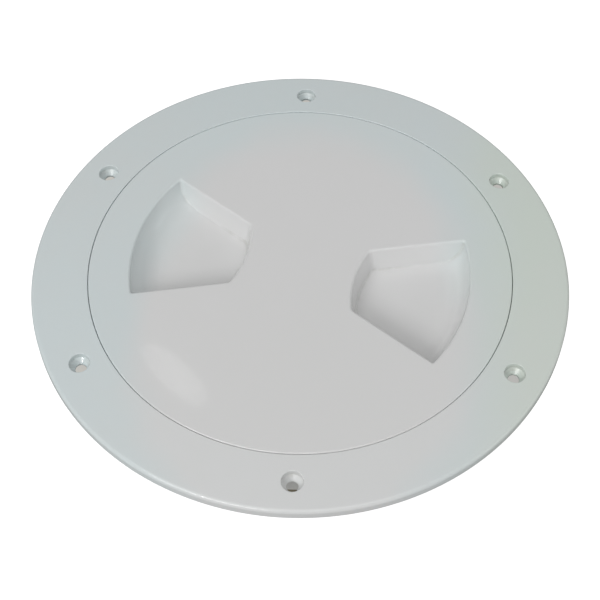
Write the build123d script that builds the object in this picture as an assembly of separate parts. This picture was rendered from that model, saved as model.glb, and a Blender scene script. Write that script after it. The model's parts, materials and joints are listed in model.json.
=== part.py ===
"""Screw-out deck hatch: a flanged ring with a threaded collar, a flush lid that screws
into it by two finger cups, and the O-ring that seals the lid in the ring.

Millimetres. The origin is on the hatch's axis in the plane of the deck face, which is
the underside of the flange, and +Z points up out of the deck. The lid is shown screwed
home. Turning it counter-clockwise, seen from above, raises it by one lead a turn.
"""

import os
from math import cos, radians, sin, tan

from build123d import *

# ---------------------------------------------------------------- driving dimensions
clear_opening_d = 152.0  # through the ring's thread crests: the nominal six inches
flange_d = 205.0  # outside of the flange
flange_top_z = 5.5  # top of the ring beside the lid, and of the lid
flange_rim_z = 4.4  # top of the flange where its edge rounding starts
flange_rim_round = 1.5  # rounding of the flange's outer edge
collar_depth = 21.0  # collar below the deck face
deck_cutout_d = 165.0  # hole sawn in the deck for the collar
screw_count = 6
screw_circle_d = 182.0
screw_hole_d = 4.2  # clearance for a 4 mm (No. 8) countersunk screw
screw_head_d = 7.8

lid_d = 161.6
seat_gap = 0.2  # room between the lid's edge and the ring's seat
lid_plate = 3.0  # thickness of the lid's plate
skirt_end_z = -16.0  # lower end of the lid's threaded skirt
cup_angle = -14.0  # direction of the first finger cup about +Z, in degrees
cup_depth = 10.0

thread_lead = 12.0  # rise of the lid in one turn
thread_starts = 2
thread_height = 2.0
thread_crest_w = 1.7  # flat on top of a thread ridge
thread_flank = 30.0  # slope of a ridge's sides from square, in degrees

o_ring_cord_d = 3.5
seal_gap = 0.1  # the O-ring is drawn unsqueezed, this far from neck, rim and cone

# ---------------------------------------------------------------- derived dimensions
flange_r = flange_d / 2
ring_crest_r = clear_opening_d / 2
collar_bore_r = ring_crest_r + thread_height
collar_outer_r = deck_cutout_d / 2 - 1.0
lid_r = lid_d / 2
seat_bore_r = lid_r + seat_gap  # the ring's counterbore around the lid
seat_floor_z = 2.0
skirt_r = ring_crest_r - 0.6  # root of the lid's thread
skirt_bore_r = skirt_r - 2.8
rim_under_z = seat_floor_z + 0.3  # underside of the lid's rim
o_ring_r = skirt_r + o_ring_cord_d / 2 + seal_gap
o_ring_z = rim_under_z - o_ring_cord_d / 2 - seal_gap


def turned(outline):
    """A solid turned about the hatch's axis from lines and arcs drawn as (radius, height)."""
    return revolve(Plane.XZ * make_face(outline), axis=Axis.Z)


def rounded_edge(edge_r, edge_z, size):
    """A quarter arc over an outer edge, from its side up to its top."""
    return CenterArc((edge_r - size, edge_z - size), size, 0, 90)


# ---------------------------------------------------------------- threads
def thread_ridge(root_r, outward, start_z, turns, start_angle):
    """One helical ridge with a trapezoid section, standing on a wall of radius root_r.

    outward is 1 for a ridge on the outside of a wall and -1 for one inside a bore.
    The section sinks a little into the wall so that the two fuse.
    """
    sink = 0.4
    slope = tan(radians(thread_flank))
    half_crest = thread_crest_w / 2
    half_base = half_crest + (thread_height + sink) * slope
    path = Helix(pitch=thread_lead, height=thread_lead * turns, radius=root_r)
    start = Plane(origin=path @ 0, x_dir=(1, 0, 0), z_dir=path % 0)
    section = start * Polygon(
        (-sink * outward, -half_base),
        (thread_height * outward, -half_crest),
        (thread_height * outward, half_crest),
        (-sink * outward, half_base),
        align=None,
    )
    ridge = sweep(section, path=path, is_frenet=True)
    return Pos(0, 0, start_z) * Rot(0, 0, start_angle) * ridge


def add_thread(body, root_r, outward, start_z, turns, start_angle):
    """The body with every start of its thread fused on, spread evenly round the axis."""
    for start in range(thread_starts):
        angle = start_angle + 360 * start / thread_starts
        body += thread_ridge(root_r, outward, start_z, turns, angle)
    return body


# ---------------------------------------------------------------- the ring
flange_wall = 2.4  # flange's thickness over the hollow on its underside
land_w = 3.5  # flat land round the flange's underside that beds on the deck
relief_inner_r = 84.8  # inner side of that hollow
ring_thread_start_z = -15.6
ring_thread_turns = 1.0


def flange_surface_z(radius):
    """Height of the flange's sloping top at a radius."""
    rim_start_r = flange_r - flange_rim_round
    share = (radius - seat_bore_r) / (rim_start_r - seat_bore_r)
    return flange_top_z + (flange_rim_z - flange_top_z) * share


def ring_body():
    """Flange, lid seat, seal cone and collar as one turned shape."""
    bore_lip, foot, lip, draft = 0.35, 0.6, 0.3, 0.3
    relief_outer_r = flange_r - land_w
    seal_bore_r = collar_bore_r + 1.5
    cone_reach = (o_ring_cord_d / 2 + seal_gap) / cos(radians(45))
    cone_low_z = collar_bore_r - (o_ring_r - o_ring_z + cone_reach)
    cone_high_z = cone_low_z + (seal_bore_r - collar_bore_r)
    rest = Polyline(
        (flange_r, flange_rim_z - flange_rim_round),
        (flange_r, lip),
        (flange_r - lip, 0),
        (relief_outer_r, 0),
        (relief_outer_r - draft, flange_surface_z(relief_outer_r) - flange_wall),
        (relief_inner_r + draft, flange_surface_z(relief_inner_r) - flange_wall),
        (relief_inner_r, 0),
        (collar_outer_r + foot, 0),
        (collar_outer_r, -foot),
        (collar_outer_r, foot - collar_depth),
        (collar_outer_r - foot, -collar_depth),
        (collar_bore_r + foot, -collar_depth),
        (collar_bore_r, foot - collar_depth),
        (collar_bore_r, cone_low_z),
        (seal_bore_r, cone_high_z),
        (seal_bore_r, seat_floor_z),
        (seat_bore_r, seat_floor_z),
        (seat_bore_r, flange_top_z - bore_lip),
        (seat_bore_r + bore_lip, flange_top_z),
        (flange_r - flange_rim_round, flange_rim_z),
    )
    return turned([rounded_edge(flange_r, flange_rim_z, flange_rim_round), rest])


def screw_places():
    """The screw holes' places, the first 30 degrees from +X."""
    return PolarLocations(screw_circle_d / 2, screw_count, start_angle=30)


def screw_boss():
    """A boss that carries the screw's load down to the deck through the hollow flange."""
    boss_r, overlap = 4.8, 0.3
    height = flange_surface_z(screw_circle_d / 2) - flange_wall + overlap
    return Cylinder(boss_r, height, align=(Align.CENTER, Align.CENTER, Align.MIN))


def screw_hole():
    """Clearance hole, cone for the countersunk head, and a short bore that sinks the head."""
    top = flange_surface_z(screw_circle_d / 2)
    hole_r, head_r = screw_hole_d / 2, screw_head_d / 2
    sunk, edge, over = 2.3, 0.3, 1.0
    outline = Polyline(
        (0, -over),
        (hole_r, -over),
        (hole_r, top - sunk - (head_r - hole_r)),
        (head_r, top - sunk),
        (head_r, top - edge),
        (head_r + edge + over, top + over),
        (0, top + over),
        close=True,
    )
    return turned(outline)


def flange_ribs():
    """Radial ribs across the hollow under the flange, between the screw bosses."""
    rib_count, rib_w, overlap = 24, 1.8, 0.6
    inner_r = relief_inner_r - overlap
    outer_r = flange_r - land_w + overlap
    height = flange_surface_z(outer_r) - flange_wall + overlap
    rib = Box(
        outer_r - inner_r, rib_w, height, align=(Align.MIN, Align.CENTER, Align.MIN)
    )
    every = 360 // rib_count
    boss_every = 360 // screw_count
    angles = [every * i for i in range(rib_count)]
    return [Rot(0, 0, a) * Pos(inner_r, 0, 0) * rib for a in angles if (a - 30) % boss_every]


def make_deck_ring():
    """The flanged ring, moulded in one piece with its collar and female thread."""
    ring = ring_body()
    ring += [place * screw_boss() for place in screw_places()]
    ring += flange_ribs()
    ring -= [place * screw_hole() for place in screw_places()]
    return add_thread(
        ring, collar_bore_r, -1, ring_thread_start_z, ring_thread_turns, 0
    )


# ---------------------------------------------------------------- the lid
cup_outer_r = 65.0  # the cup's outer arc, about the hatch's axis
cup_half_angle = 26.6  # from the cup's middle to an outer corner, in degrees
cup_inner_x = 21.4  # nearest point of the cup to the axis
cup_inner_half_w = 14.3
cup_inner_bow = 2.5  # how far the inner side bows towards the axis
cup_draft = 12.0  # slope of the cup's steep walls, in degrees
cup_wall = 2.5
cup_floor_z = flange_top_z - cup_depth
lid_thread_start_z = -12.6
lid_thread_turns = 0.7


def cup_plan(grow, reach):
    """The cup seen from above, in its own frame with +X outwards. The outer side is left
    long by reach, because the sweep of the outer wall trims it. grow widens the plan."""
    side = (
        cup_outer_r * sin(radians(cup_half_angle)) - cup_inner_half_w,
        cup_outer_r * cos(radians(cup_half_angle)) - cup_inner_x - cup_inner_bow,
    )
    slope = side[0] / side[1]
    corner_x = cup_inner_x + cup_inner_bow
    far_x = cup_outer_r + reach
    far_half_w = cup_inner_half_w + slope * (far_x - corner_x)
    inner = ThreePointArc(
        (corner_x, -cup_inner_half_w), (cup_inner_x, 0), (corner_x, cup_inner_half_w)
    )
    sides = Polyline(
        (corner_x, cup_inner_half_w),
        (far_x, far_half_w),
        (far_x, -far_half_w),
        (corner_x, -cup_inner_half_w),
    )
    plan = make_face([inner, sides])
    inner_corners = plan.vertices().sort_by(Axis.X)[:2]
    plan = fillet(inner_corners, 2.0)
    return offset(plan, grow, kind=Kind.INTERSECTION) if grow else plan


def cup_sweep(grow):
    """Everything inside the outer wall's quarter-round sweep, which is steep at the lid's
    top and runs out level into the floor."""
    radius = cup_depth + grow
    outer = cup_outer_r + grow
    over = 2.0
    bend = CenterArc((outer - radius, flange_top_z), radius, 0, -90)
    rest = Polyline(
        (outer - radius, flange_top_z - radius),
        (0, flange_top_z - radius),
        (0, flange_top_z + over),
        (outer, flange_top_z + over),
        (outer, flange_top_z),
    )
    return turned([bend, rest])


def cup_block(grow):
    """The space of one finger cup, or, grown by its wall, the outside of the cup. The
    creases between its floor and its steep walls are rounded."""
    floor_round = 1.0
    plan = Pos(0, 0, flange_top_z) * cup_plan(grow, reach=8.0)
    walls = extrude(plan, amount=-(cup_depth + grow), taper=cup_draft)
    block = walls & cup_sweep(grow)
    floor = block.faces().sort_by(Axis.Z)[0]
    creases = [e for e in floor.edges() if e.center().X < cup_outer_r - cup_depth - 1]
    return fillet(creases, floor_round)


def cup_places():
    """The two finger cups stand opposite each other."""
    return [Rot(0, 0, cup_angle + turn) for turn in (0, 180)]


def lid_body():
    """Plate, rim, seal neck and skirt as one turned shape."""
    rim_round, lip, foot, draft, web = 0.9, 0.4, 0.8, 0.4, 1.5
    plate_under_z = flange_top_z - lid_plate
    rest = Polyline(
        (lid_r, flange_top_z - rim_round),
        (lid_r, rim_under_z + lip),
        (lid_r - lip, rim_under_z),
        (skirt_r, rim_under_z),
        (skirt_r, skirt_end_z + foot),
        (skirt_r - foot, skirt_end_z),
        (skirt_bore_r + lip, skirt_end_z),
        (skirt_bore_r, skirt_end_z + lip),
        (skirt_bore_r - draft, plate_under_z - web),
        (skirt_bore_r - draft - web, plate_under_z),
        (0, plate_under_z),
        (0, flange_top_z),
        (lid_r - rim_round, flange_top_z),
    )
    return turned([rounded_edge(lid_r, flange_top_z, rim_round), rest])


def lid_ribs():
    """Ribs under the plate: eight radial ones from a hub to the skirt, and one ring."""
    rib_count, rib_w, rib_deep, overlap = 8, 2.0, 4.0, 0.5
    hub_r, ring_rib_r = 8.0, 44.0
    top = Pos(0, 0, flange_top_z - lid_plate + overlap)
    height = rib_deep + overlap
    hung = (Align.CENTER, Align.CENTER, Align.MAX)
    radial = Box(skirt_bore_r, rib_w, height, align=(Align.MIN, Align.CENTER, Align.MAX))
    ring = Cylinder(ring_rib_r + rib_w / 2, height, align=hung)
    ring -= Cylinder(ring_rib_r - rib_w / 2, height, align=hung)
    every = 360 / rib_count
    ribs = [Rot(0, 0, cup_angle + every * i) * top * radial for i in range(rib_count)]
    return [*ribs, top * ring, top * Cylinder(hub_r, height, align=hung)]


def make_screw_lid():
    """The lid, moulded in one piece with its finger cups, ribs, skirt and male thread."""
    plate_middle_z = flange_top_z - lid_plate / 2
    hung = (Align.CENTER, Align.CENTER, Align.MAX)
    under_plate = Pos(0, 0, plate_middle_z) * Cylinder(lid_r, 2 * cup_depth, align=hung)
    cup_shell = cup_block(cup_wall) & under_plate
    cup_space = cup_block(0)
    lid = lid_body() + lid_ribs()
    lid += [place * cup_shell for place in cup_places()]
    lid -= [place * cup_space for place in cup_places()]
    return add_thread(lid, skirt_r, 1, lid_thread_start_z, lid_thread_turns, 0)


# ---------------------------------------------------------------- the seal
def make_lid_o_ring():
    """The O-ring on the lid's neck, pressed between the lid's rim and the ring's cone."""
    return Pos(0, 0, o_ring_z) * Torus(o_ring_r, o_ring_cord_d / 2)


# ---------------------------------------------------------------- the nodes
nodes = {
    "deck_ring": make_deck_ring,
    "screw_lid": make_screw_lid,
    "lid_o_ring": make_lid_o_ring,
}

os.makedirs("parts", exist_ok=True)
for name, make in nodes.items():
    export_step(make(), f"parts/{name}.step")
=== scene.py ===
# %% [markdown]
# # A screw-out deck hatch
#
# A deck hatch of this kind is a white plastic ring that is screwed down over a hole in a
# boat's deck, a lid that screws into it with two fingertip cups, and a rubber ring that
# keeps the sea out. The sizes and the motion come from an engineering model, which is
# loaded as a fixed frame. This lesson makes the surfaces that are seen, with numpy, and
# then their plastic and rubber, out of shader nodes.

# %% Load the engineering model
import json

import bmesh
import bpy
import numpy as np
from mathutils import Matrix, Vector


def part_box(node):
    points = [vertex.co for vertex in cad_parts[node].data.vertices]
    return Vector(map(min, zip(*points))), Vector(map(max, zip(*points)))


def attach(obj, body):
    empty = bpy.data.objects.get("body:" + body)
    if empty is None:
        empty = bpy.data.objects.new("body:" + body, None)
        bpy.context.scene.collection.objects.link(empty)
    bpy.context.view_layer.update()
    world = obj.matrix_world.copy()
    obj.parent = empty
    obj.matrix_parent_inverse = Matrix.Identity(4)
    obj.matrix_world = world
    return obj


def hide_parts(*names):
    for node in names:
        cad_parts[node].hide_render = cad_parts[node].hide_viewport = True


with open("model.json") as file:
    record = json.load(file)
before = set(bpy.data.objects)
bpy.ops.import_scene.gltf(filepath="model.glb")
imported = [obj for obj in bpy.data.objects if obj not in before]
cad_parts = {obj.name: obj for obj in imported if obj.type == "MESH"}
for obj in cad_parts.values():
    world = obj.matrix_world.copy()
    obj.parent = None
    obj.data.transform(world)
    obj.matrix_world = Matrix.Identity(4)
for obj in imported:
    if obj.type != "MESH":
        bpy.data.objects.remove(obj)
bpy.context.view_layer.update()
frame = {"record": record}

# %% [markdown]
# ## Read the sizes
#
# The new surfaces have to sit exactly where the engineering parts are, so their main
# sizes are read from it: the corners of each part's box and the stated fixing sizes.
# A round part that was cut into small flat faces measures a few hundredths of a
# millimetre short, so its radius is rounded to the nearest tenth. Shapes are worked out
# in millimetres and scaled once, when they become a mesh.

# %% Sizes from the frame
MM = 0.001
mounts = {mount["name"]: mount for mount in frame["record"]["mounts"]}


def box_mm(node):
    """Lowest and highest corner of a part, in millimetres."""
    low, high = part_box(node)
    return np.array(low) / MM, np.array(high) / MM


def radius_mm(node):
    """Outside radius of a round part that is centred on the hatch's axis."""
    low, high = box_mm(node)
    return round(float(max(high[0], high[1], -low[0], -low[1])), 1)


ring_low, _ = box_mm("deck_ring")
lid_low, lid_high = box_mm("screw_lid")
seal_low, seal_high = box_mm("lid_o_ring")

top_z = float(lid_high[2])
flange_r = radius_mm("deck_ring")
collar_end_z = float(ring_low[2])
collar_outer_r = mounts["collar"]["dims"]["r_mm"]
screw_circle_r = mounts["screw_holes"]["dims"]["pcd_mm"] / 2
screw_count = mounts["screw_holes"]["dims"]["count"]
screw_hole_r = mounts["screw_holes"]["dims"]["hole_r_mm"]
lid_r = radius_mm("screw_lid")
skirt_end_z = float(lid_low[2])
cord_r = float(seal_high[2] - seal_low[2]) / 2
seal_r = radius_mm("lid_o_ring") - cord_r
seal_z = float(seal_high[2] + seal_low[2]) / 2
print(f"flange {2 * flange_r:.1f} mm, lid {2 * lid_r:.1f} mm, cord {2 * cord_r:.2f} mm")

# %% [markdown]
# ## One way to make every surface
#
# Moulded plastic is made of long smooth faces that meet in small roundings. Modelling
# that with booleans and bevels gives ragged triangles round every hole, and gloss shows
# each of them. Here each surface is a *grid*: rows and columns of points worked out by a
# formula. Grids that share an edge have the same points on it, so merging the doubles
# closes the whole moulding into one watertight skin.

# %% Grids to a mesh
STEP_DEG = 1.5  # one column of a turned surface
MERGE = 2e-6  # points nearer than this, in metres, are one point


def grid_quads(rows, columns, wrap):
    """Corner numbers of the four-sided faces between neighbouring rows and columns.
    With wrap the last column is joined to the first."""
    row = np.arange(rows - 1)[:, None]
    column = np.arange(columns if wrap else columns - 1)[None, :]
    after = (column + 1) % columns
    corners = [row * columns + column, row * columns + after]
    corners += [(row + 1) * columns + after, (row + 1) * columns + column]
    return np.stack(corners, -1).reshape(-1, 4)


def build_piece(name, patches):
    """One object from a list of (grid, wrap), with grids of points in millimetres."""
    points, faces, offset = [], [], 0
    for grid, wrap in patches:
        rows, columns = grid.shape[:2]
        points.append(grid.reshape(-1, 3) * MM)
        faces.append(grid_quads(rows, columns, wrap) + offset)
        offset += rows * columns
    mesh = bpy.data.meshes.new(name)
    mesh.from_pydata(np.concatenate(points).tolist(), [], np.concatenate(faces).tolist())
    bm = bmesh.new()
    bm.from_mesh(mesh)
    bmesh.ops.remove_doubles(bm, verts=bm.verts, dist=MERGE)
    bmesh.ops.recalc_face_normals(bm, faces=bm.faces)
    open_edges = sum(not edge.is_manifold for edge in bm.edges)
    bm.to_mesh(mesh)
    bm.free()
    mesh.shade_smooth()
    piece = bpy.data.objects.new(name, mesh)
    bpy.context.scene.collection.objects.link(piece)
    print(f"{name}: {len(mesh.polygons)} faces, {open_edges} open edges")
    return piece


# %% [markdown]
# ## Lines with rounded corners
#
# No moulded edge is sharp: the tool steel has a small radius and the plastic shrinks.
# A section is therefore written as a few corners, each with its own rounding, and the
# arcs are worked out. On each arc the points turn evenly from the end of one straight
# line to the start of the next.

# %% Rounded sections
ARC_STEPS = 6  # pieces in a quarter circle


def rounded(corners):
    """Points along a line through (across, up, rounding) corners. An arc of radius q in a
    corner whose sides open by 2h has its centre q / sin h from the corner, and touches the
    sides q / tan h from it."""
    line = []
    spots = np.array([corner[:2] for corner in corners], float)
    for i, (_, _, q) in enumerate(corners):
        if q == 0:
            line.append(spots[i][None])
            continue
        back = spots[i - 1] - spots[i]
        onward = spots[i + 1] - spots[i]
        back /= np.linalg.norm(back)
        onward /= np.linalg.norm(onward)
        half = np.arccos(np.clip(back @ onward, -1, 1)) / 2
        middle = back + onward
        centre = spots[i] + middle / np.linalg.norm(middle) * q / np.sin(half)
        first = spots[i] + back * q / np.tan(half) - centre
        last = spots[i] + onward * q / np.tan(half) - centre
        turn = np.pi - 2 * half
        pieces = max(2, int(np.ceil(ARC_STEPS * turn / (np.pi / 2))))
        t = np.linspace(0, 1, pieces + 1)[:, None]
        arc = (np.sin((1 - t) * turn) * first + np.sin(t * turn) * last) / np.sin(turn)
        line.append(centre + arc)
    return np.concatenate(line)


# %% [markdown]
# ## Turned surfaces
#
# Most of the hatch is round, and a turned surface is the plainest use of a grid: each
# row is one point of the section and each column is one angle.

# %% A lathe
def turned(section, angles):
    """x = r cos a, y = r sin a, z = height, for (r, height) rows and one column an angle."""
    r, z = section[:, 0, None], section[:, 1, None]
    return np.stack([r * np.cos(angles), r * np.sin(angles), z + 0 * angles], -1)


def full_turn(start_deg=0.0):
    """Every column's angle round the whole hatch, in radians."""
    return np.radians(start_deg + np.arange(0, 360, STEP_DEG))


def part_turn(from_deg, to_deg):
    """The columns' angles between two directions, both ends included."""
    return np.radians(np.arange(from_deg, to_deg + STEP_DEG / 2, STEP_DEG))


# %% [markdown]
# ## Ridges and ribs
#
# Threads and stiffening ribs are one section carried along a path. On the real moulding
# they grow out of the wall with a small radius at the foot. The section here has that
# flared foot, and its base is sunk a little into the wall, so the two skins cross where
# nobody sees it. At each end the section is drawn together to a point, which closes the
# shape.

# %% A section carried along a path
def carried(section, path, across, upward, size=None):
    """point = path + size * (a * across + h * upward), for an (a, h) section."""
    count = len(path)
    across = np.broadcast_to(across, (count, 3))
    upward = np.broadcast_to(upward, (count, 3))
    size = np.ones(count) if size is None else size
    a, h = section[None, :, 0, None], section[None, :, 1, None]
    grid = a * across[:, None] + h * upward[:, None]
    grid = path[:, None] + size[:, None, None] * grid
    ends = [np.broadcast_to(grid[i].mean(0), grid[i].shape)[None] for i in (0, -1)]
    return np.concatenate([ends[0], grid, ends[1]])


def ridge_section(height, crest_w, flank_deg, foot, crest_round, spread=1.2):
    """A trapezium on a wall at height 0, with a rounded crest and a rounded foot that
    dives under the wall over the distance spread."""
    half_crest = crest_w / 2
    half_base = half_crest + height * np.tan(np.radians(flank_deg))
    sink = 0.2
    corners = [
        (-half_base - spread, -sink, 0),
        (-half_base, 0, foot),
        (-half_crest, height, crest_round),
        (half_crest, height, crest_round),
        (half_base, 0, foot),
        (half_base + spread, -sink, 0),
    ]
    return rounded(corners)


# %% [markdown]
# ## The screw thread
#
# The lid has two thread ridges that start opposite each other and climb 12 mm a turn, so
# it comes out with hardly more than one turn. A ridge's path is a helix: the height grows
# in proportion to the angle. Both ends run out to nothing, as a moulded thread does.

# %% Thread ridges
THREAD_LEAD = 12.0
THREAD_STARTS = 2
THREAD_STEP_DEG = 2.0
RUN_OUT_DEG = 9.0  # the stretch over which an end fades
END_SIZE = 0.12  # what is left of the section at the very end
thread_section = ridge_section(
    2.0, 1.7, flank_deg=30, foot=0.5, crest_round=0.35, spread=0.4
)


def thread_ridges(wall_r, outward, start_z, turns):
    """Helical ridges: angle a, radius wall_r, height start_z + lead * a / one turn."""
    patches = []
    steps = int(turns * 360 / THREAD_STEP_DEG) + 1
    climb = np.linspace(0, turns * 2 * np.pi, steps)
    from_end = np.minimum(climb, climb[-1] - climb)
    share = np.clip(from_end / np.radians(RUN_OUT_DEG), 0, 1)
    size = END_SIZE + (1 - END_SIZE) * share * share * (3 - 2 * share)
    for start in range(THREAD_STARTS):
        angle = climb + 2 * np.pi * start / THREAD_STARTS
        radial = np.stack([np.cos(angle), np.sin(angle), 0 * angle], -1)
        path = radial * wall_r
        path[:, 2] = start_z + THREAD_LEAD * climb / (2 * np.pi)
        grid = carried(thread_section, path, (0, 0, 1), radial * outward, size)
        patches.append((grid, True))
    return patches


# %% [markdown]
# ## The ring's section
#
# Seen from above the ring is a gently sloping flange with a rounded rim. Its
# hidden half matters as much: a hollow under the flange keeps the wall even so that the
# plastic doesn't sink, a collar hangs through the deck, and inside it are the seat for
# the lid and a cone for the rubber ring.

# %% Ring sizes
rim_z = top_z - 1.1  # where the flange's top would meet its rim
RIM_ROUND = 1.5
flange_wall = 2.4
seat_bore_r = lid_r + 0.2
seat_floor_z = 2.0
collar_bore_r = collar_outer_r - 3.5
seal_bore_r = collar_bore_r + 1.5
cone_low_z = collar_bore_r - (seal_r - seal_z + (cord_r + 0.1) * np.sqrt(2))
relief_inner_r = 84.8
relief_outer_r = flange_r - 3.5
tile_inner_r, tile_outer_r = 85.7, 97.6  # the stretch of flange that holds the screws


def flange_top(r):
    """The flange's top falls in proportion to the distance from the lid's seat."""
    return top_z + (rim_z - top_z) * (r - seat_bore_r) / (flange_r - RIM_ROUND - seat_bore_r)


def flange_roof(r):
    """Roof of the hollow under the flange, a constant wall below its top."""
    return flange_top(r) - flange_wall


# %% [markdown]
# The ring is turned in two parts, the rim and the collar, with the stretch that holds the
# screws left out between them. Each list goes round its part corner by corner, as a lathe
# tool would, and gives every corner its rounding, the largest on the rim that hands touch.

# %% The two turned parts of the ring
rim_section = rounded([
    (tile_outer_r, flange_top(tile_outer_r), 0),
    (flange_r, flange_top(flange_r), RIM_ROUND),
    (flange_r, 0, 0.3),
    (relief_outer_r, 0, 0.2),
    (relief_outer_r - 0.3, flange_roof(relief_outer_r), 0.3),
    (tile_outer_r, flange_roof(tile_outer_r), 0),
])
collar_section = rounded([
    (tile_inner_r, flange_roof(tile_inner_r), 0),
    (relief_inner_r + 0.3, flange_roof(relief_inner_r), 0.25),
    (relief_inner_r, 0, 0.2),
    (collar_outer_r, 0, 0.6),
    (collar_outer_r, collar_end_z, 0.7),
    (collar_bore_r, collar_end_z, 0.7),
    (collar_bore_r, cone_low_z, 0.4),
    (seal_bore_r, cone_low_z + seal_bore_r - collar_bore_r, 0.3),
    (seal_bore_r, seat_floor_z, 0.25),
    (seat_bore_r, seat_floor_z, 0.3),
    (seat_bore_r, flange_top(seat_bore_r), 0.3),
    (tile_inner_r, flange_top(tile_inner_r), 0),
])
ring_patches = [
    (turned(rim_section, full_turn()), True),
    (turned(collar_section, full_turn()), True),
]
print("ring section points:", len(rim_section) + len(collar_section))

# %% [markdown]
# ## A countersunk hole in a turned surface
#
# A round hole doesn't fit a grid that goes round another axis. The answer is a *tile*: a
# window is left in the flange, and filled with a grid whose columns fan out from the
# hole's axis. Its first row follows the window's edge on the flange's top, its last row
# the same edge on the underside, and every row between is a circle about the hole: the
# sunken head seat, the cone, the bore, and the boss that carries the load to the deck.

# %% Screw hole tiles
TILE_HALF_DEG = 6.0
tile_side_steps = 12
head_r = 3.9
boss_r = 4.8
sunk = 2.3
FIRST_HOLE_DEG = 30.0


def window_edge(inner_r, outer_r, half_deg, side_steps):
    """Radius and angle of points round a window: its inner arc, one side, its outer arc
    and the other side."""
    half = np.radians(half_deg)
    arc_steps = int(round(2 * half_deg / STEP_DEG))
    arc = np.linspace(-half, half, arc_steps + 1)[:-1]
    side = np.linspace(inner_r, outer_r, side_steps + 1)[:-1]
    climb = np.linspace(outer_r, inner_r, side_steps + 1)[:-1]
    r = np.concatenate([0 * arc + inner_r, side, 0 * arc + outer_r, climb])
    a = np.concatenate([arc, 0 * side + half, -arc, 0 * climb - half])
    return r, a


def hole_section():
    """Radius and height from the flange's top down the hole, and up the boss outside."""
    top, roof = flange_top(screw_circle_r), flange_roof(screw_circle_r)
    down = rounded([
        (head_r + 0.4, top, 0),
        (head_r, top, 0.25),
        (head_r, top - sunk, 0.15),
        (screw_hole_r, top - sunk - (head_r - screw_hole_r), 0.2),
        (screw_hole_r, 0, 0.2),
        ((screw_hole_r + boss_r) / 2, 0, 0),
    ])
    up = rounded([
        ((screw_hole_r + boss_r) / 2, 0, 0),
        (boss_r, 0, 0.3),
        (boss_r, roof, 0.25),
        (boss_r + 0.3, roof, 0),
    ])
    lean = [
        np.clip((down[:, 1] - (top - sunk)) / sunk, 0, 1),
        np.clip(up[:, 1] / roof, 0, 1),
    ]
    return np.concatenate([down, up[1:]]), np.concatenate([lean[0], lean[1][1:]])


def hole_tile(middle_deg):
    """The window's edge drawn in to circles about the hole. A row's height follows the
    flange's slope in full at the top and roof, and not at all in the cone."""
    r, a = window_edge(tile_inner_r, tile_outer_r, TILE_HALF_DEG, tile_side_steps)
    a = a + np.radians(middle_deg)
    edge = np.stack([r * np.cos(a), r * np.sin(a)], -1)
    middle = np.radians(middle_deg)
    centre = screw_circle_r * np.array([np.cos(middle), np.sin(middle)])
    out = edge - centre
    out /= np.linalg.norm(out, axis=1, keepdims=True)
    section, lean = hole_section()
    rings = centre + section[:, 0, None, None] * out
    ring_r = np.linalg.norm(rings, axis=2)
    slope = flange_top(ring_r) - flange_top(screw_circle_r)
    heights = section[:, 1, None] + lean[:, None] * slope
    shares = np.array([0, 0.4, 0.75])[:, None, None]  # rows between window and hole
    above = edge + shares * (rings[0] - edge)
    below = (edge + shares * (rings[-1] - edge))[::-1]
    flat = np.concatenate([above, rings, below])
    z = [flange_top(np.linalg.norm(above, axis=2)), heights]
    z.append(flange_roof(np.linalg.norm(below, axis=2)))
    return np.concatenate([flat, np.concatenate(z)[..., None]], -1)


# %% [markdown]
# Between two windows the flange is an ordinary turned strip, on top and underneath, cut
# into as many rows as a window's side.

# %% Flange between the holes
spacing_deg = 360 / screw_count
strip_r = np.linspace(tile_inner_r, tile_outer_r, tile_side_steps + 1)
for hole in range(screw_count):
    hole_deg = FIRST_HOLE_DEG + spacing_deg * hole
    ring_patches.append((hole_tile(hole_deg), True))
    strip = part_turn(hole_deg + TILE_HALF_DEG, hole_deg + spacing_deg - TILE_HALF_DEG)
    for height in (flange_top, flange_roof):
        section = np.stack([strip_r, height(strip_r)], -1)
        ring_patches.append((turned(section, strip), False))

# %% [markdown]
# ## Ribs under the flange
#
# Short radial ribs tie the collar to the rim. They show only from below.

# %% Flange ribs
rib_section = ridge_section(2.0, 1.3, flank_deg=4, foot=0.3, crest_round=0.25)
rib_overlap = 0.4  # how far a rib's ends reach into the walls beside it
ribs_per_bay = 3
for bay in range(screw_count):
    for rib in range(1, ribs_per_bay + 1):
        share = rib / (ribs_per_bay + 1)
        angle = np.radians(FIRST_HOLE_DEG + spacing_deg * (bay + share))
        radial = np.array([np.cos(angle), np.sin(angle), 0])
        reach = np.linspace(relief_inner_r - rib_overlap, relief_outer_r + rib_overlap, 5)
        path = reach[:, None] * radial
        path[:, 2] = flange_roof(reach)
        side = (-radial[1], radial[0], 0)
        ring_patches.append((carried(rib_section, path, side, (0, 0, -1)), True))

ring_patches += thread_ridges(collar_bore_r, outward=-1, start_z=-15.6, turns=1.0)
ring = build_piece("ring_moulding", ring_patches)

# %% [markdown]
# ## The finger cups
#
# Each cup is a sunken fan. Its two straight sides and its inner end are steep walls with
# a little draft, so that the moulding leaves its tool. The outer wall is a quarter circle
# that sweeps from the lid's face down into the floor, which is where the fingertips push.
# Slices at one height all have the same plan: an outer arc about the hatch's axis, two
# straight sides, an inner arc, and four rounded corners. Only the sizes change with the
# depth. So the cup is a stack of such outlines, and each outline is one row of the grid.

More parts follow.
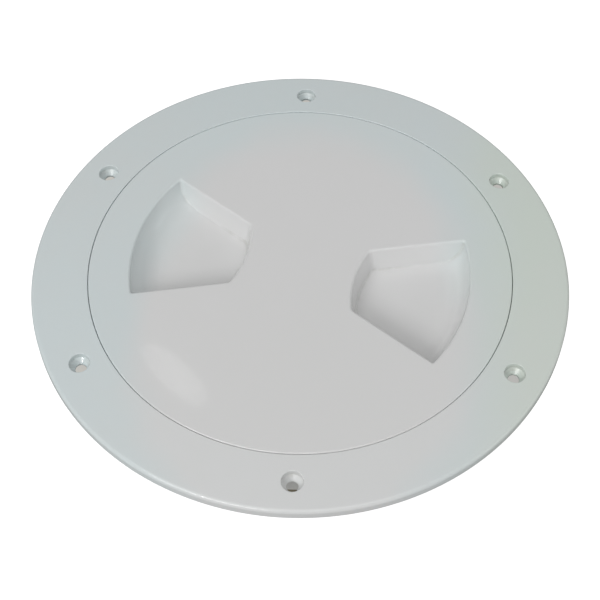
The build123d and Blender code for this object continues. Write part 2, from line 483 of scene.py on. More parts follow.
# %% Cup sizes
CUP_DEG = -14.0
cup_depth = 10.0
cup_outer_r = 65.0
cup_draft = np.radians(12)
side_lean = np.radians(23.4)
fan_apex_x = -9.15  # where the straight sides would meet
inner_bow_r = 42.15
inner_bow_x = 63.55  # centre of the inner arc
plate = 3.0  # the lid's wall
cup_wall = 2.5
side_in = np.array([np.sin(side_lean), -np.cos(side_lean)])
side_along = np.array([np.cos(side_lean), np.sin(side_lean)])

# %% [markdown]
# A rounded corner lies between a straight side and an arc. The centre of its rounding is
# at the same distance inside both, so it is the place where a line parallel to the side
# crosses a slightly smaller circle. That crossing is the root of a quadratic, and one
# array holds it for all slices at once.

# %% Cup outlines
def corner_centre(inset, q, circle_x, circle_r, sign):
    """Where the side, moved in by inset + q, meets the circle of radius circle_r - q."""
    start = np.array([fan_apex_x, 0]) + (inset + q)[:, None] * side_in
    away = start - np.array([circle_x, 0])
    b = away @ side_along
    c = (away**2).sum(1) - (circle_r - q) ** 2
    return start + (-b + sign * np.sqrt(b * b - c))[:, None] * side_along


def arc_points(centre, r, first, last, steps):
    """Points on a circle from one direction to another, without the last one."""
    t = np.arange(steps) / steps
    angle = first[:, None] + (last - first)[:, None] * t
    ring = np.stack([np.cos(angle), np.sin(angle)], -1)
    return centre[:, None] + r[:, None, None] * ring


def cup_outlines(inset, outer_r, inner_q, outer_q, steps):
    """One closed outline a slice: inset is how far the steep walls have come in, outer_r
    the radius of the outer arc. Half of it is worked out and the rest is its mirror."""
    arc_steps, corner_steps, side_steps = steps
    n = len(inset)
    zero, one = np.zeros(n), np.ones(n)
    outer = corner_centre(inset, outer_q, 0.0, outer_r, 1)
    bow_r = inner_bow_r - inset
    inner = corner_centre(inset, inner_q, inner_bow_x, bow_r, -1)
    outer_dir = np.arctan2(outer[:, 1], outer[:, 0])
    inner_dir = np.arctan2(inner[:, 1], inner[:, 0] - inner_bow_x)
    side_dir = one * (np.pi / 2 + side_lean)
    origin = np.zeros((n, 2))
    bow = origin + np.array([inner_bow_x, 0])
    side_from = outer - outer_q * side_in
    side_to = inner - inner_q * side_in
    t = (np.arange(side_steps) / side_steps)[:, None]
    side = side_from[:, None] + t * (side_to - side_from)[:, None]
    half = [
        arc_points(origin, outer_r, zero, outer_dir, arc_steps),
        arc_points(outer, outer_q * one, outer_dir, side_dir, corner_steps),
        side,
        arc_points(inner, inner_q * one, side_dir, inner_dir, corner_steps),
        arc_points(bow, bow_r, inner_dir, np.pi * one, arc_steps),
        np.stack([inner_bow_x - bow_r, zero], -1)[:, None],
    ]
    half = np.concatenate(half, 1)
    return np.concatenate([half, half[:, -2:0:-1] * [1, -1]], 1)


# %% [markdown]
# The depth of each slice comes from the sweep: equal steps of angle along the quarter
# circle, which puts the slices close together where the floor flattens out. The steep
# walls follow their draft line and end in a fillet at the floor. The same function, with
# the wall's thickness added, gives the cup's outside, seen from under the lid.

# %% Cup slices
def quarter(x):
    """How far a quarter circle of radius 1 has bent away after going x along its axis."""
    return 1 - np.sqrt(1 - np.clip(x, 0, 1) ** 2)


def cup_slices(start, grow, edge, fillet, count):
    """Depth, inset and outer radius of each slice, from the plate's face at depth start.
    The sweep's radius is the cup's depth plus grow, its centre is the same for both."""
    sweep_r = cup_depth + grow
    bend = np.linspace(0, np.pi / 2, ARC_STEPS + 1)
    lip = start + edge * (1 - np.cos(bend))
    first = np.arcsin((start + edge) / sweep_r)
    below = sweep_r * np.sin(np.linspace(first, np.pi / 2, count))
    depth = np.concatenate([lip, below[1:]])
    flare = edge * quarter(1 - (depth - start) / edge)
    foot = fillet * quarter(1 - (sweep_r - depth) / fillet)
    inset = depth * np.tan(cup_draft) - grow / np.cos(cup_draft) - flare + foot
    reach = np.sqrt(np.clip(sweep_r**2 - depth**2, 0, None))
    outer_r = cup_outer_r - cup_depth + reach + flare
    return depth, inset, outer_r


# %% [markdown]
# The lid's face is flat, with the two cups let into it. Each cup sits in a window of its
# own, as the screw holes do: the first row follows the window, and the rows then close in
# on the cup's lip, go down its walls and shrink to the middle of its floor.

# %% Cup tiles
CUP_HALF_DEG = 42.0
cup_tile_inner_r, cup_tile_outer_r = 16.0, 70.0
cup_corner_steps = 8
cup_side_steps = 36
cup_arc_steps = int(CUP_HALF_DEG / STEP_DEG) - cup_corner_steps // 2
cup_steps = (cup_arc_steps, cup_corner_steps, cup_side_steps - cup_corner_steps)
cup_floor_x = 40.0
CUP_SLICES = 24


def cup_window():
    """The window's edge in the cup's own frame, starting at the middle of its outer arc."""
    r, a = window_edge(cup_tile_inner_r, cup_tile_outer_r, CUP_HALF_DEG, cup_side_steps)
    arc_steps = int(round(2 * CUP_HALF_DEG / STEP_DEG))
    start = arc_steps + cup_side_steps + arc_steps // 2
    r, a = np.roll(r, -start), np.roll(a, -start)
    edge = np.stack([r * np.cos(a), r * np.sin(a)], -1)
    return np.concatenate([edge[:1], edge[:0:-1]])


def cup_tile(middle_deg, start, grow, edge, fillet, inner_q, outer_q):
    """A cup's surface with the flat face round it. Rows: window, flat, slices, floor.
    The roundings are edge at the lip, fillet at the floor, and inner_q and outer_q at the
    upright corners."""
    depth, inset, outer_r = cup_slices(start, grow, edge, fillet, CUP_SLICES)
    slices = cup_outlines(inset, outer_r, inner_q, outer_q, cup_steps)
    window = cup_window()
    near = np.array([0, 0.35, 0.7, 0.92])[:, None, None]
    flat = window + near * (slices[0] - window)
    centre = np.array([cup_floor_x, 0])
    shrink = np.array([0.75, 0.5, 0.25, 0])[:, None, None]
    floor = centre + shrink * (slices[-1] - centre)
    plan = np.concatenate([flat, slices, floor])
    deep = [np.full(len(near), depth[0]), depth, np.full(len(shrink), depth[-1])]
    deep = np.concatenate(deep)
    turn = np.radians(middle_deg)
    x = plan[..., 0] * np.cos(turn) - plan[..., 1] * np.sin(turn)
    y = plan[..., 0] * np.sin(turn) + plan[..., 1] * np.cos(turn)
    z = np.broadcast_to((top_z - deep)[:, None], x.shape)
    return np.stack([x, y, z], -1)


# %% [markdown]
# ## The rest of the lid
#
# The lid's rim, the neck for the rubber ring and the threaded skirt are turned. The flat
# faces between the cups are turned strips, and the middle is a disc.

# %% Lid skin
skirt_r = collar_bore_r - 2.6
skirt_bore_r = skirt_r - 2.8
rim_under_z = seat_floor_z + 0.3
under_z = top_z - plate
lid_section = rounded([
    (cup_tile_outer_r, top_z, 0),
    (lid_r, top_z, 0.55),
    (lid_r, rim_under_z, 0.4),
    (skirt_r, rim_under_z, 0.3),
    (skirt_r, skirt_end_z, 0.8),
    (skirt_bore_r, skirt_end_z, 0.5),
    (skirt_bore_r - 0.4, under_z, 1.5),
    (cup_tile_outer_r, under_z, 0),
])
lid_patches = [(turned(lid_section, full_turn(CUP_DEG)), True)]
disc_r = np.array([0, 0.5, 1]) * cup_tile_inner_r
face_r = np.linspace(cup_tile_inner_r, cup_tile_outer_r, cup_side_steps + 1)
for face_z in (top_z, under_z):
    disc = np.stack([disc_r, 0 * disc_r + face_z], -1)
    lid_patches.append((turned(disc, full_turn(CUP_DEG)), True))
    face = np.stack([face_r, 0 * face_r + face_z], -1)
    for side in (0, 180):
        gap = part_turn(CUP_DEG + side + CUP_HALF_DEG, CUP_DEG + side + 180 - CUP_HALF_DEG)
        lid_patches.append((turned(face, gap), False))
for side in (0, 180):
    inside = cup_tile(
        CUP_DEG + side, start=0.0, grow=0.0, edge=0.8, fillet=0.7, inner_q=2.8, outer_q=1.0
    )
    outside = cup_tile(
        CUP_DEG + side, start=plate, grow=cup_wall, edge=1.0, fillet=4.0, inner_q=4.5, outer_q=3.0
    )
    lid_patches += [(inside, True), (outside, True)]

# %% [markdown]
# ## Under the lid
#
# Eight radial ribs and a ring keep the plate flat. Each runs a little way into what it
# meets, the hub, the skirt or a cup's wall, so that no gap shows. Where two cross, one is
# a little lower, because crests at one height would share a face.

# %% Lid ribs
lid_rib_section = ridge_section(4.0, 1.5, flank_deg=3, foot=0.4, crest_round=0.3)
ring_rib_section = ridge_section(3.8, 1.5, flank_deg=3, foot=0.4, crest_round=0.3)
ring_rib_r = 44.0
ring_rib_open_deg = 28.4  # from a cup's middle to the ring rib's end in the cup's side
rib_count = 8
rib_inner_r, rib_outer_r = 6.0, 72.0
cup_front_r, cup_back_r = 20.6, 64.8  # inside the cup's two walls that face along a rib


def plate_rib(angle_deg, from_r, to_r):
    """A straight rib that hangs from the plate between two radii."""
    angle = np.radians(angle_deg)
    radial = np.array([np.cos(angle), np.sin(angle), 0])
    path = np.linspace(from_r, to_r, 9)[:, None] * radial
    path[:, 2] = under_z
    return carried(lid_rib_section, path, (-radial[1], radial[0], 0), (0, 0, -1))


for rib in range(rib_count):
    rib_deg = CUP_DEG + rib * 360 / rib_count
    crosses_cup = rib % (rib_count // 2) == 0
    spans = [(rib_inner_r, rib_outer_r)]
    if crosses_cup:
        spans = [(rib_inner_r, cup_front_r), (cup_back_r, rib_outer_r)]
    for span in spans:
        lid_patches.append((plate_rib(rib_deg, *span), True))

for side in (0, 180):
    first = CUP_DEG + side + ring_rib_open_deg
    angle = np.radians(np.linspace(first, first + 180 - 2 * ring_rib_open_deg, 60))
    radial = np.stack([np.cos(angle), np.sin(angle), 0 * angle], -1)
    path = radial * ring_rib_r
    path[:, 2] = under_z
    lid_patches.append((carried(ring_rib_section, path, radial, (0, 0, -1)), True))

# %% [markdown]
# The hub in the middle is where the plastic was injected, and its cut-off stub is left on
# it. The small discs are the marks of the pins that push the moulding out of its tool.
# They stand clear of the cups. Both are one turned shape, moved to its place.

# %% Hub, gate stub and pin marks
BOSS_STEP_DEG = 7.5
stub_foot_r, stub_end_r, stub_round = 2.0, 1.8, 0.2


def boss(x, y, foot_z, radius, drop, edge, stub=0.0):
    """A round closed boss that hangs from height foot_z, with an optional stub on it."""
    root_z, end_z = foot_z + 0.3, foot_z - drop
    corners = [(0, root_z, 0), (radius, root_z, 0), (radius, end_z, edge)]
    if stub:
        corners += [(stub_foot_r, end_z, stub_round), (stub_end_r, end_z - stub, stub_round)]
    corners += [(0, end_z - stub, 0)]
    angles = np.radians(np.arange(0, 360, BOSS_STEP_DEG))
    return turned(rounded(corners), angles) + np.array([x, y, 0])


hub = boss(0, 0, under_z, radius=8.0, drop=4.2, edge=0.5, stub=0.8)
lid_patches.append((hub, True))
pin_circle_r = 57.0
for pin_deg in (67.5, 112.5, 247.5, 292.5):
    angle = np.radians(CUP_DEG + pin_deg)
    x, y = pin_circle_r * np.cos(angle), pin_circle_r * np.sin(angle)
    lid_patches.append((boss(x, y, under_z, radius=3.0, drop=0.12, edge=0.1), True))

lid_patches += thread_ridges(skirt_r, outward=1, start_z=-12.6, turns=0.7)
lid = build_piece("lid_moulding", lid_patches)

# %% [markdown]
# ## The rubber ring
#
# A plain torus looks like wire. A moulded O-ring has a fine flash line where the two
# halves of its mould met, round the outside and round the hole. It is a small bump on the
# section: the radius grows by a narrow bell curve at those two directions, and the rows
# are crowded together there.

# %% O-ring
flash_high, flash_wide = 0.06, 0.05
flash_rows, crowding = 25, 3  # rows in half the section, and how close they draw together
even = np.linspace(-crowding, crowding, flash_rows)
near_flash = np.sinh(even) / np.sinh(crowding) * np.pi / 2
section_dir = np.concatenate([near_flash, near_flash[1:-1] + np.pi])
bell = np.exp(-((np.sin(section_dir) / flash_wide) ** 2))
section_r = cord_r - flash_high + flash_high * bell
cord_section = np.stack([
    seal_r + section_r * np.cos(section_dir),
    seal_z + section_r * np.sin(section_dir),
], -1)
cord_section = np.concatenate([cord_section, cord_section[:1]])
seal = build_piece("seal_ring", [(turned(cord_section, full_turn()), True)])

# %% [markdown]
# ## Curvature, kept on the points
#
# Wear shows on edges, and the materials make hollows darker. To let the materials know
# which is which, each point stores how much the surface bends there: along every edge the
# normals at its ends open up on a convex surface and close up on a hollow one. The average
# over a point's edges, in one over millimetres, is saved as an attribute called bend.

# %% Bend attribute
def store_bend(piece, smoothing=2):
    """bend = mean over a point's edges of (n2 - n1) . (p2 - p1) / length squared."""
    mesh = piece.data
    count = len(mesh.vertices)
    place = np.zeros(count * 3)
    normal = np.zeros(count * 3)
    ends = np.zeros(len(mesh.edges) * 2, int)
    mesh.vertices.foreach_get("co", place)
    mesh.vertex_normals.foreach_get("vector", normal)
    mesh.edges.foreach_get("vertices", ends)
    place, normal, ends = place.reshape(-1, 3) / MM, normal.reshape(-1, 3), ends.reshape(-1, 2)
    a, b = ends[:, 0], ends[:, 1]
    run = place[b] - place[a]
    opening = ((normal[b] - normal[a]) * run).sum(1) / np.maximum((run**2).sum(1), 1e-6)
    degree = np.bincount(ends.ravel(), minlength=count)
    bend = np.bincount(a, opening, count) + np.bincount(b, opening, count)
    bend /= np.maximum(degree, 1)
    for _ in range(smoothing):
        around = np.bincount(a, bend[b], count) + np.bincount(b, bend[a], count)
        bend = 0.5 * bend + 0.5 * around / np.maximum(degree, 1)
    layer = mesh.attributes.new("bend", "FLOAT", "POINT")
    layer.data.foreach_set("value", bend.astype(np.float32))
    print(f"{piece.name}: bend from {bend.min():.2f} to {bend.max():.2f} per mm")


for piece in (ring, lid, seal):
    store_bend(piece)

# %% [markdown]
# Large flat faces meet small roundings all over the moulding. Blender averages normals
# where they meet, which would tilt the light on a whole flat face. The Weighted Normal
# modifier lets the largest face win, so flats stay flat and only the roundings turn.

# %% Weighted normals
for piece in (ring, lid):
    weighted = piece.modifiers.new("flats stay flat", "WEIGHTED_NORMAL")
    weighted.mode = "FACE_AREA"
    weighted.weight = 80
    weighted.keep_sharp = False

# %% [markdown]
# ## Effects shared by the materials
#
# An effect that several materials use is a node group with named sockets, built once.
# The first helper starts one, and the others keep the wiring short.

# %% Node helpers
def new_group(name, inputs, outputs):
    """A shader node group with float or colour sockets; returns it and its two ends."""
    group = bpy.data.node_groups.new(name, "ShaderNodeTree")
    for socket, default in inputs:
        made = group.interface.new_socket(socket, in_out="INPUT", socket_type="NodeSocketFloat")
        made.default_value = default
    for socket in outputs:
        group.interface.new_socket(socket, in_out="OUTPUT", socket_type="NodeSocketFloat")
    start = group.nodes.new("NodeGroupInput")
    end = group.nodes.new("NodeGroupOutput")
    return group, start.outputs, end.inputs


def wire(tree, value, socket):
    """A link if value is a socket, or a plain setting if it is a number or colour."""
    if isinstance(value, bpy.types.NodeSocket):
        tree.links.new(value, socket)
    else:
        socket.default_value = value


def math_node(tree, operation, *values, clamp=False):
    """One Math node with its values wired in; returns its output."""
    node = tree.nodes.new("ShaderNodeMath")
    node.operation = operation
    node.use_clamp = clamp
    for socket, value in zip(node.inputs, values):
        wire(tree, value, socket)
    return node.outputs[0]


def vector_node(tree, operation, first, second=(0, 0, 0)):
    """One Vector Math node on two vectors; returns its outputs."""
    node = tree.nodes.new("ShaderNodeVectorMath")
    node.operation = operation
    wire(tree, first, node.inputs[0])
    wire(tree, second, node.inputs[1])
    return node.outputs


def split_node(tree, vector):
    """The X, Y and Z of a vector."""
    node = tree.nodes.new("ShaderNodeSeparateXYZ")
    wire(tree, vector, node.inputs["Vector"])
    return node.outputs


def noise_node(tree, vector, scale, detail=2.0, rough=0.5):
    """A Noise Texture on a vector; returns its value from 0 to 1."""
    node = tree.nodes.new("ShaderNodeTexNoise")
    wire(tree, scale, node.inputs["Scale"])
    node.inputs["Detail"].default_value = detail
    node.inputs["Roughness"].default_value = rough
    wire(tree, vector, node.inputs["Vector"])
    return node.outputs["Fac"]


def ramp_node(tree, value, low, high):
    """Stretches the stretch from low to high over 0 to 1, with soft ends."""
    node = tree.nodes.new("ShaderNodeMapRange")
    node.interpolation_type = "SMOOTHSTEP"
    wire(tree, value, node.inputs["Value"])
    wire(tree, low, node.inputs["From Min"])
    wire(tree, high, node.inputs["From Max"])
    return node.outputs["Result"]


def place_node(tree, turn_deg=0.0, stretch=(1, 1, 1)):
    """Object coordinates, in metres, turned about Z and stretched."""
    coordinates = tree.nodes.new("ShaderNodeTexCoord")
    mapping = tree.nodes.new("ShaderNodeMapping")
    mapping.inputs["Rotation"].default_value = (0, 0, np.radians(turn_deg))
    mapping.inputs["Scale"].default_value = stretch
    tree.links.new(coordinates.outputs["Object"], mapping.inputs["Vector"])
    return mapping.outputs["Vector"]


# %% [markdown]
# **Moulded skin.** Gloss plastic is never a perfect mirror. It has long, lazy waves where
# it shrank over the ribs, and a fine orange peel from the tool's polish. Two noises at
# those scales make a height in millimetres.

# %% Moulded skin group
skin_group, given, result = new_group(
    "moulded skin", [("Waves", 0.03), ("Peel", 0.002)], ["Height"]
)
where = place_node(skin_group)
waves = math_node(skin_group, "MULTIPLY", noise_node(skin_group, where, 24, 1.5), given["Waves"])
peel = math_node(skin_group, "MULTIPLY", noise_node(skin_group, where, 900, 2), given["Peel"])
wire(skin_group, math_node(skin_group, "ADD", waves, peel), result["Height"])

# %% [markdown]
# **Handling scratches.** Feet, buckets and fingers leave fine hairlines. A noise that is
# stretched forty times in one direction makes parallel streaks, and a narrow slice of its
# values makes them thin. Three directions are mixed, and a coarse noise breaks them up.

# %% Scratches group
scratch_group, given, result = new_group("scratches", [("Amount", 0.5)], ["Mask"])
hairs = []
for turn_deg, length in ((24, 14.0), (-51, 20.0), (83, 9.0)):
    along = place_node(scratch_group, turn_deg, (length, 900.0, 30.0))
    streak = noise_node(scratch_group, along, 1.0, 3, 0.6)
    off = math_node(scratch_group, "ABSOLUTE", math_node(scratch_group, "SUBTRACT", streak, 0.5))
    thin = ramp_node(scratch_group, off, 0.012, 0.0)
    spot = place_node(scratch_group, turn_deg * 2)
    broken = ramp_node(scratch_group, noise_node(scratch_group, spot, 38, 2), 0.52, 0.68)
    hairs.append(math_node(scratch_group, "MULTIPLY", thin, broken))
two = math_node(scratch_group, "MAXIMUM", hairs[0], hairs[1])
every = math_node(scratch_group, "MAXIMUM", two, hairs[2])
mask = math_node(scratch_group, "MULTIPLY", every, given["Amount"], clamp=True)
wire(scratch_group, mask, result["Mask"])

# %% [markdown]
# ** Darker hollows, rub on edges.** Both start from the bend attribute. Hollow places,
# where it is negative, are made darker and duller. Rounded edges, where it is positive,
# are rubbed dull. A noise makes each of them patchy.

# %% Corners and edges group
edge_group, given, result = new_group(
    "corners and edges", [("Grime", 0.5), ("Rub", 0.5)], ["Grime", "Rub"]
)
bend = edge_group.nodes.new("ShaderNodeAttribute")
bend.attribute_name = "bend"
where = place_node(edge_group)
patchy = ramp_node(edge_group, noise_node(edge_group, where, 140, 4, 0.6), 0.3, 0.7)
hollow = ramp_node(edge_group, bend.outputs["Fac"], -0.05, -0.5)
proud = ramp_node(edge_group, bend.outputs["Fac"], 0.15, 0.9)
for effect, place in (("Grime", hollow), ("Rub", proud)):
    patches = math_node(edge_group, "MULTIPLY", place, patchy)
    wire(edge_group, math_node(edge_group, "MULTIPLY", patches, given[effect]), result[effect])

# %% [markdown]
# **Uneven tone.** White plastic that lives outdoors drifts in colour: slightly grey or
# cool in one place, slightly green or yellow in another. One very coarse noise and one
# finer mottle give a value from 0 to 1 for mixing two close colours.

# %% Tone group
tone_group, given, result = new_group("uneven tone", [("Coarse", 7.0), ("Fine", 90.0)], ["Tone"])
where = place_node(tone_group)
coarse = noise_node(tone_group, where, given["Coarse"], 1.0)
fine = noise_node(tone_group, where, given["Fine"], 3, 0.55)
most = math_node(tone_group, "MULTIPLY", coarse, 0.75)
blend = math_node(tone_group, "MULTIPLY_ADD", fine, 0.25, most)
wire(tone_group, ramp_node(tone_group, blend, 0.32, 0.68), result["Tone"])

# %% [markdown]
# **Ageing by place.** The middle of the lid is walked on and stays plain white. Towards the
# rim the white turns a little cool, and on one side it turns green, as it does where it
# faces the weather. Both masks are soft distances in the plane, roughened by a noise.

# %% Drift group
AGED_CENTRE = (0.002, -0.024, 0.0)  # middle of the plain area, in metres
AGED_STRETCH = (1.35, 0.92, 0.0)  # it is longer from front to back than across
AGED_FROM, AGED_TO = 0.082, 0.106
GREEN_FROM, GREEN_TO = 0.065, 0.105

drift_group, given, result = new_group("ageing by place", [("Always", 0.0)], ["Aged", "Green"])
where = place_node(drift_group)
from_centre = vector_node(drift_group, "SUBTRACT", where, AGED_CENTRE)["Vector"]
stretched = vector_node(drift_group, "MULTIPLY", from_centre, AGED_STRETCH)["Vector"]
away = vector_node(drift_group, "LENGTH", stretched)["Value"]
ragged = noise_node(drift_group, where, 30, 2)
reach = math_node(drift_group, "MULTIPLY_ADD", ragged, 0.02, away)
aged = ramp_node(drift_group, reach, AGED_FROM, AGED_TO)
wire(drift_group, math_node(drift_group, "MAXIMUM", aged, given["Always"]), result["Aged"])
across = split_node(drift_group, where)["X"]
side_way = math_node(drift_group, "MULTIPLY_ADD", ragged, 0.03, across)
wire(drift_group, ramp_node(drift_group, side_way, GREEN_FROM, GREEN_TO), result["Green"])

# %% [markdown]
# ## Materials
#
# The Principled shader, which stays in each material, gets its colours, roughness and
# normal from the groups. Values that are the same all over are set on its own sockets.

# %% Material helpers
def group_node(tree, group, **settings):
    """One use of a group, with its own values; returns its outputs."""
    node = tree.nodes.new("ShaderNodeGroup")
    node.node_tree = group
    for name, value in settings.items():
        node.inputs[name].default_value = value
    return node.outputs


def mixed(tree, share, first, second):
    """A colour between first and second."""
    node = tree.nodes.new("ShaderNodeMix")
    node.data_type = "RGBA"
    wire(tree, share, node.inputs["Factor"])
    for socket, colour in ((node.inputs["A"], first), (node.inputs["B"], second)):
        if not isinstance(colour, bpy.types.NodeSocket):
            colour = (*colour, 1)
        wire(tree, colour, socket)
    return node.outputs["Result"]


def new_material(name, roughness, **constants):
    """An empty material; returns it, its tree and its Principled shader."""
    material = bpy.data.materials.new(name)
    material.use_nodes = True
    tree = material.node_tree
    shader = tree.nodes["Principled BSDF"]
    shader.inputs["Roughness"].default_value = roughness
    for socket, value in constants.items():
        shader.inputs[socket.replace("_", " ")].default_value = value
    return material, tree, shader


def dent(tree, shader, height):
    """Bumps the surface by a height in millimetres."""
    bump = tree.nodes.new("ShaderNodeBump")
    bump.inputs["Distance"].default_value = MM
    wire(tree, height, bump.inputs["Height"])
    wire(tree, bump.outputs["Normal"], shader.inputs["Normal"])


# %% [markdown]
# The ring and the lid are the same white plastic, but came from two tools: the lid's was
# polished a little better, and the ring has drifted in colour all over, not only near its
# rim. Hairlines and rubbed edges are duller than the skin, and hollows are duller and darker.

# %% White plastic
# The darker grey that hollow places are mixed towards.
HOLLOW_GREY = (0.42, 0.41, 0.36)
GREYED_WHITE = (0.76, 0.765, 0.75)
PLAIN_WHITE = (0.80, 0.80, 0.80)
COOL_WHITE = (0.725, 0.80, 0.81)
GREEN_WHITE = (0.725, 0.80, 0.735)


def white_plastic(name, cool_share, gloss, waves):
    """Injection-moulded gloss plastic: drifting white, hairlines, darker hollows and rubbed
    edges.
    """
    material, tree, shader = new_material(name, gloss, IOR=1.52)
    tone = group_node(tree, tone_group)["Tone"]
    drift = group_node(tree, drift_group, Always=cool_share)
    hair = group_node(tree, scratch_group, Amount=0.5)["Mask"]
    edge = group_node(tree, edge_group, Grime=0.35, Rub=0.6)
    height = group_node(tree, skin_group, Waves=waves, Peel=0.0004)["Height"]
    aged = mixed(tree, drift["Green"], COOL_WHITE, GREEN_WHITE)
    base = mixed(tree, drift["Aged"], PLAIN_WHITE, aged)
    base = mixed(tree, math_node(tree, "MULTIPLY", tone, 0.35), base, GREYED_WHITE)
    # Hollow places, found from the bend, are mixed towards a darker grey.
    base = mixed(tree, edge["Grime"], base, HOLLOW_GREY)
    wire(tree, base, shader.inputs["Base Color"])
    rough = gloss
    for mask, duller in ((hair, 0.25), (edge["Rub"], 0.18), (edge["Grime"], 0.4), (tone, 0.02)):
        rough = math_node(tree, "MULTIPLY_ADD", mask, duller, rough)
    wire(tree, rough, shader.inputs["Roughness"])
    dent(tree, shader, math_node(tree, "MULTIPLY_ADD", hair, -0.004, height))
    return material


lid_white = white_plastic("lid white", cool_share=0.0, gloss=0.03, waves=0.012)
ring_white = white_plastic("ring white", cool_share=0.15, gloss=0.08, waves=0.02)

# %% [markdown]
# The rubber ring is greased, so it is black and semi-gloss, with a fine grain from its
# mould and a little lint in it.

# %% Rubber
rubber, tree, shader = new_material("seal rubber", 0.4, IOR=1.5)
tone = group_node(tree, tone_group, Coarse=30.0, Fine=400.0)["Tone"]
edge = group_node(tree, edge_group, Grime=0.3, Rub=0.8)
grain = group_node(tree, skin_group, Waves=0.0, Peel=0.01)["Height"]
base = mixed(tree, tone, (0.018, 0.018, 0.019), (0.035, 0.034, 0.032))
wire(tree, mixed(tree, edge["Rub"], base, (0.07, 0.07, 0.068)), shader.inputs["Base Color"])
wire(tree, math_node(tree, "MULTIPLY_ADD", tone, 0.22, 0.3), shader.inputs["Roughness"])
dent(tree, shader, grain)

# %% [markdown]
# ## Give each surface its finish and its body
#
# A piece rides on the engineering body that carries it, and stands for the part that it
# replaces, which is hidden.

# %% Dress the pieces
dressing = [
    (ring, ring_white, "ring_body", "deck_ring", "ring_plastic"),
    (lid, lid_white, "lid_body", "screw_lid", "lid_plastic"),
    (seal, rubber, "seal_body", "lid_o_ring", "seal_rubber"),
]
for piece, material, body, node, finish in dressing:
    piece.data.materials.append(material)
    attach(piece, body)
    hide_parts(node)
    print(f"{piece.name} rides on {body}")

# %% [markdown]
# ## A plain studio
#
# The hatch stands on its collar on a pale floor. The floor gives off a little light of
# its own, as a translucent table lit from below does, which keeps it white behind a white
# object. A round shade under the hatch is left out of the glow. It shows through the screw
# holes, dark at the front, with light spilt in from behind. The sky is an even soft white,
# and what the camera sees of it matches the floor.

# %% Floor and sky
FLOOR_HALF = 6.0
FLOOR_GREY = (0.5, 0.5, 0.5)
FLOOR_GLOW = 0.9
SHADE_BACK, SHADE_R, SHADE_SOFT = 0.0154, 0.108, 0.008  # in metres
# Painted shade: the floor's colour under the hatch, a dark brown-grey seen through the screw
# holes.
SHADE_PAINT = (0.31, 0.28, 0.21)
# Painted light: glow spilt into the painted shade from behind.
SPILL = 0.4  # glow inside the shade, at the back
SPILL_FROM, SPILL_TO = -0.065, -0.045
SKY_LIGHT, SKY_SEEN = 0.33, 1.05


def studio_floor(level):
    """A large plane under the hatch with a white, faintly lit material, and a painted shade under
    the hatch.
    """
    ends = (-FLOOR_HALF, FLOOR_HALF)
    corners = [(x, y, level) for y in ends for x in ends]
    mesh = bpy.data.meshes.new("studio_floor")
    mesh.from_pydata(corners, [], [(0, 1, 3, 2)])
    floor = bpy.data.objects.new("studio_floor", mesh)
    bpy.context.scene.collection.objects.link(floor)
    material, tree, shader = new_material("studio floor", 0.9)
    shader.inputs["Specular IOR Level"].default_value = 0.0
    shader.inputs["Emission Color"].default_value = (1, 1, 1, 1)
    where = place_node(tree)
    away = vector_node(tree, "DISTANCE", where, (0, SHADE_BACK, level))["Value"]
    # Under the hatch the glow is cut and the floor is painted dark brown-grey: painted shade.
    lit = ramp_node(tree, away, SHADE_R - SHADE_SOFT, SHADE_R)
    wire(tree, mixed(tree, lit, SHADE_PAINT, FLOOR_GREY), shader.inputs["Base Color"])
    # Painted light spilt into the shade towards the back.
    behind = ramp_node(tree, split_node(tree, where)["Y"], SPILL_FROM, SPILL_TO)
    spill = math_node(tree, "MULTIPLY", behind, SPILL)
    glow = math_node(tree, "MAXIMUM", math_node(tree, "MULTIPLY", lit, FLOOR_GLOW), spill)
    seen = tree.nodes.new("ShaderNodeLightPath").outputs["Is Camera Ray"]
    wire(tree, math_node(tree, "MULTIPLY", glow, seen), shader.inputs["Emission Strength"])
    mesh.materials.append(material)
    print("floor at", round(level / MM, 1), "mm")


studio_floor(collar_end_z * MM - 0.0002)
world = bpy.data.worlds.new("soft sky")
bpy.context.scene.world = world
world.use_nodes = True
sky = world.node_tree
background = sky.nodes["Background"]
seen = sky.nodes.new("ShaderNodeLightPath").outputs["Is Camera Ray"]
strength = math_node(sky, "MULTIPLY_ADD", seen, SKY_SEEN - SKY_LIGHT, SKY_LIGHT)
wire(sky, strength, background.inputs["Strength"])
background.inputs["Color"].default_value = (1, 1, 1, 1)

# %% [markdown]
# ## Lights
#
# A large softbox overhead and a window at the front left give the hatch its tone and shade
# the cups, and a weak fill from the right opens up the walls that face it. A small front
# lamp puts the sparkle on the roundings. A last small lamp, behind the hatch, faces
# straight down and is there only for the gloss: it mirrors as a soft patch on the lid.

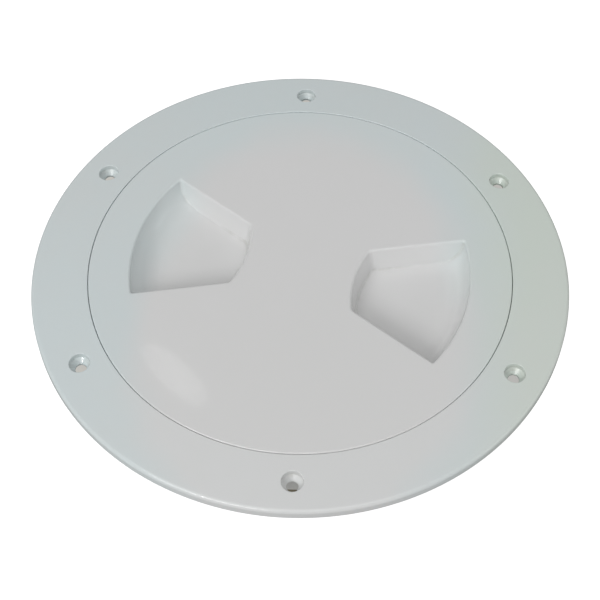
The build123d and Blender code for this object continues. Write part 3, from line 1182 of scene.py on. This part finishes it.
# %% Lights
def area_light(name, place, aim, size, power, shape="RECTANGLE", turn_deg=0.0):
    """An area light at place that faces aim, turned about its own axis; size is (width,
    height) in metres."""
    light = bpy.data.lights.new(name, "AREA")
    light.shape = shape
    light.size, light.size_y = size
    light.energy = power
    lamp = bpy.data.objects.new(name, light)
    bpy.context.scene.collection.objects.link(lamp)
    back = (Vector(place) - Vector(aim)).normalized()
    facing = back.to_track_quat("Z", "Y").to_matrix().to_4x4()
    turn = Matrix.Rotation(np.radians(turn_deg), 4, "Z")
    lamp.matrix_world = Matrix.Translation(place) @ facing @ turn
    return lamp


HATCH = (0, 0, 0)
FAR_LAMP = (-0.183, 0.574, 1.016)
UNDER_FAR_LAMP = (FAR_LAMP[0], FAR_LAMP[1], 0.0)
area_light("overhead", (-0.3, -0.75, 2.0), HATCH, size=(2.2, 2.2), power=13.6)
area_light("front window", (-0.92, -1.55, 1.26), HATCH, size=(1.4, 0.65), power=14.0)
area_light("right fill", (1.25, -0.15, 0.42), HATCH, size=(1.0, 0.5), power=1.5)
area_light("front lamp", (-0.59, -0.99, 0.59), HATCH, (0.06, 0.06), 0.5, shape="DISK")
area_light("far lamp", FAR_LAMP, UNDER_FAR_LAMP, (0.125, 0.040), 0.016, "ELLIPSE", -45.0)

# %% [markdown]
# ## Camera
#
# The camera looks down on the hatch from the front, close enough for some perspective.
# Its axes are worked out from the two angles of the view, plus a trace of roll.

# %% Camera
def aimed_camera(azimuth_deg, elevation_deg, roll_deg, distance, target, lens):
    """The camera stands at target + distance * back, where back points at the viewer."""
    a, e, w = np.radians([azimuth_deg, elevation_deg, roll_deg])
    back = np.array([np.sin(a) * np.cos(e), -np.cos(a) * np.cos(e), np.sin(e)])
    level = np.array([np.cos(a), np.sin(a), 0])
    over = np.cross(back, level)
    right = np.cos(w) * level + np.sin(w) * over
    up = np.cos(w) * over - np.sin(w) * level
    camera = bpy.data.objects.new("camera", bpy.data.cameras.new("camera"))
    bpy.context.scene.collection.objects.link(camera)
    camera.data.lens = lens
    camera.data.clip_start = 0.01
    pose = np.eye(4)
    pose[:3, 0], pose[:3, 1], pose[:3, 2] = right, up, back
    pose[:3, 3] = np.array(target) + distance * back
    camera.matrix_world = Matrix(pose.tolist())
    bpy.context.scene.camera = camera
    print("camera at", np.round(pose[:3, 3], 4))


view = {"azimuth_deg": 1.84, "elevation_deg": 54.72, "roll_deg": -0.21}
aimed_camera(**view, distance=0.4746, target=(0.0003, -0.0119, 0), lens=74.86)
bpy.context.scene.view_settings.view_transform = "Standard"
